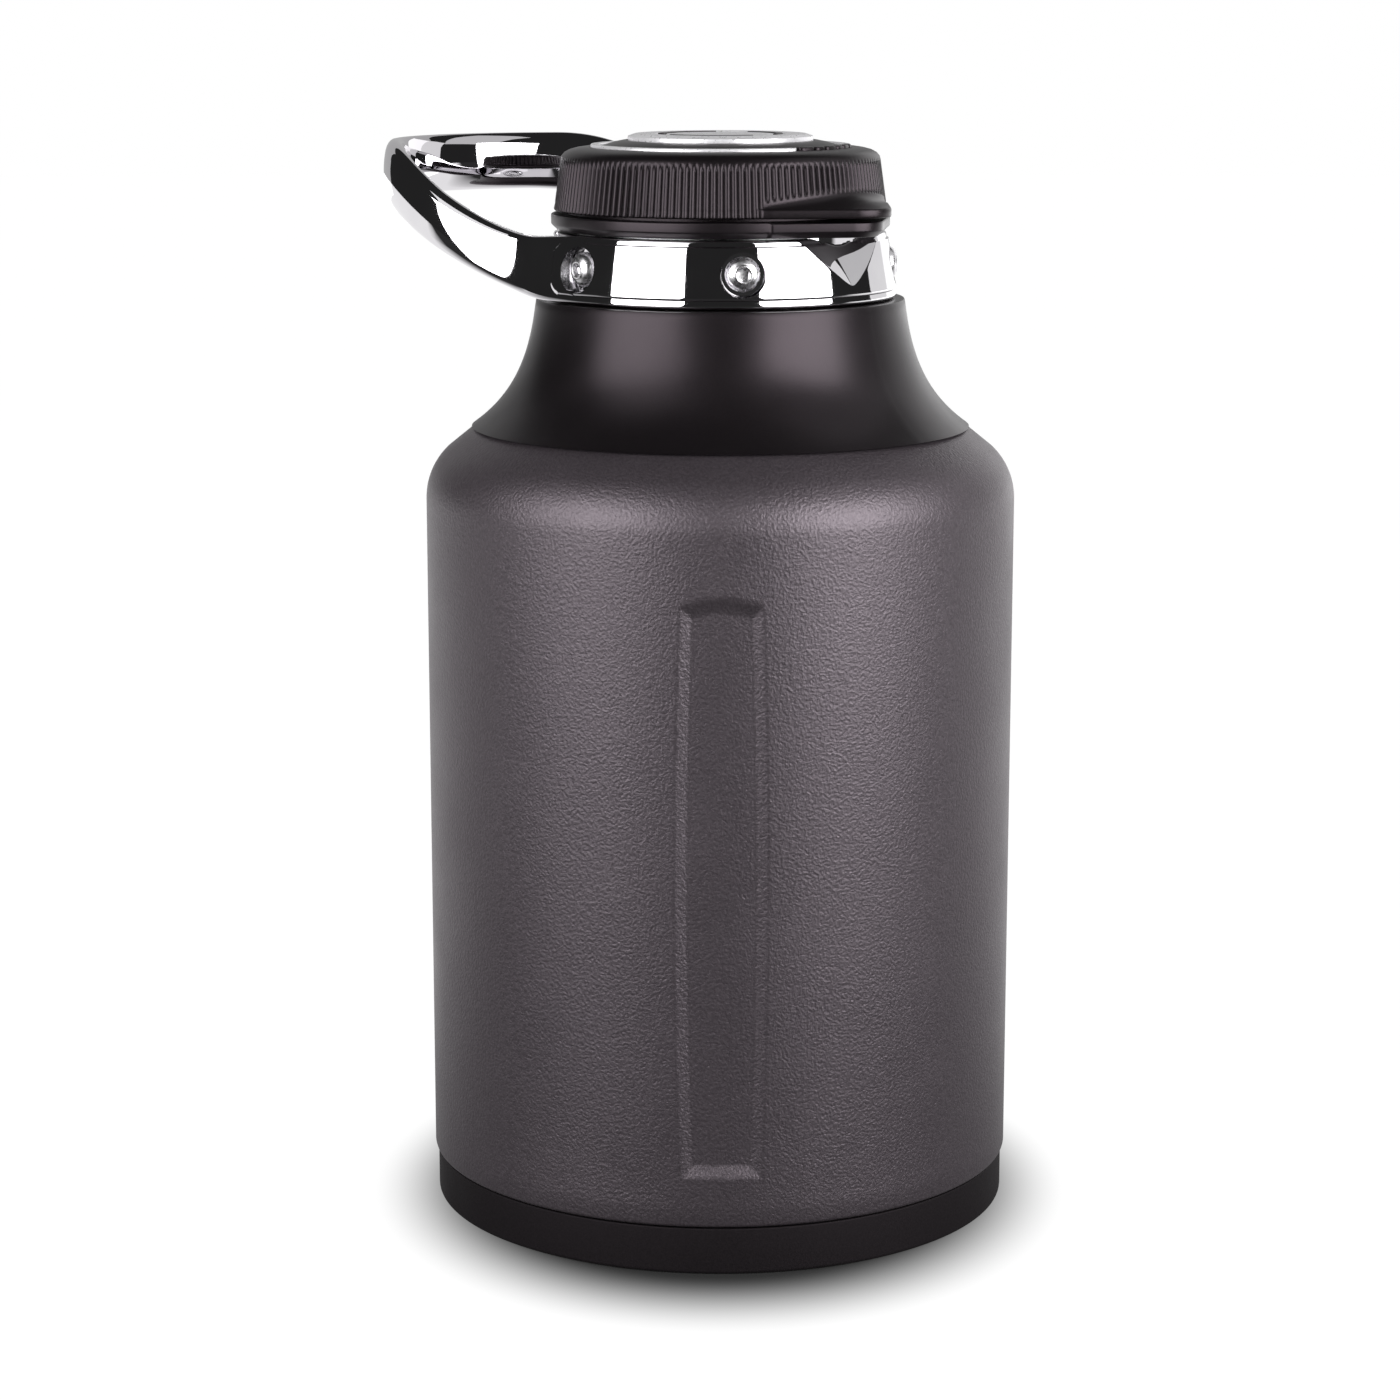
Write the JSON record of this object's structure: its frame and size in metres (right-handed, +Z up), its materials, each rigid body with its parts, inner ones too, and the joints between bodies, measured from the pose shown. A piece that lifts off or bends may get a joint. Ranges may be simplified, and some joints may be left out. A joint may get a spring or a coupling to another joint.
{
  "type": "growler",
  "caption": "Double-walled steel growler with a powder-coated body, black neck shroud, chrome collar with a carrying loop, and a ribbed screw cap with a plug stopper.",
  "frame": {"origin": "centre of the boot's flat underside, on the bottle's axis", "axes": "+Z up along the bottle's axis, +X towards the cap's tabs, and the carrying loop points to -X"},
  "size_m": [0.194, 0.164, 0.3],
  "materials": {
    "powder_coat": "satin",
    "steel": "satin",
    "boot_rubber": "matte",
    "seal_rubber": "matte",
    "black_plastic": "satin",
    "foam": "matte",
    "chrome": "polished",
    "silver_trim": "satin"
  },
  "bodies": {
    "bottle": {"outer_shell": "powder_coat", "outer_base_pan": "steel", "inner_vessel": "steel", "vacuum_seal_cap": "steel", "base_boot": "boot_rubber", "neck_shroud": "black_plastic", "shroud_spacer": "boot_rubber", "neck_ring": "steel", "collar_liner": "black_plastic", "collar_handle": "chrome", "collar_screw_1": "chrome", "collar_screw_2": "chrome", "collar_screw_3": "chrome", "collar_screw_4": "chrome", "collar_screw_5": "chrome", "collar_screw_6": "chrome"},
    "lower_ring": {"base_ring": "black_plastic"},
    "stopper": {"stopper_body": "black_plastic", "insulation_puck": "foam", "stopper_cover": "black_plastic", "lip_gasket": "seal_rubber"},
    "cap": {"grip_ring": "black_plastic", "thread_sleeve": "black_plastic", "stopper_clip": "steel", "arc_inlay": "silver_trim", "centre_badge": "silver_trim"}
  },
  "joints": [
    {"name": "cap_lift", "type": "slide", "parent": "bottle", "child": "lower_ring", "axis": [0, 0, 1], "range_m": [0, 0.06]},
    {"name": "cap_rise", "type": "slide", "parent": "lower_ring", "child": "stopper", "axis": [0, 0, 1], "range_m": [0, 0.006]},
    {"name": "cap_turn", "type": "hinge", "parent": "stopper", "child": "cap", "pos_m": [0, 0, 0.28], "axis": [0, 0, 1], "range_deg": [0, 360]}
  ],
  "couplings": [
    {"joint": "cap_rise", "follows": "cap_turn", "m_per_rad": 0.00095493}
  ]
}
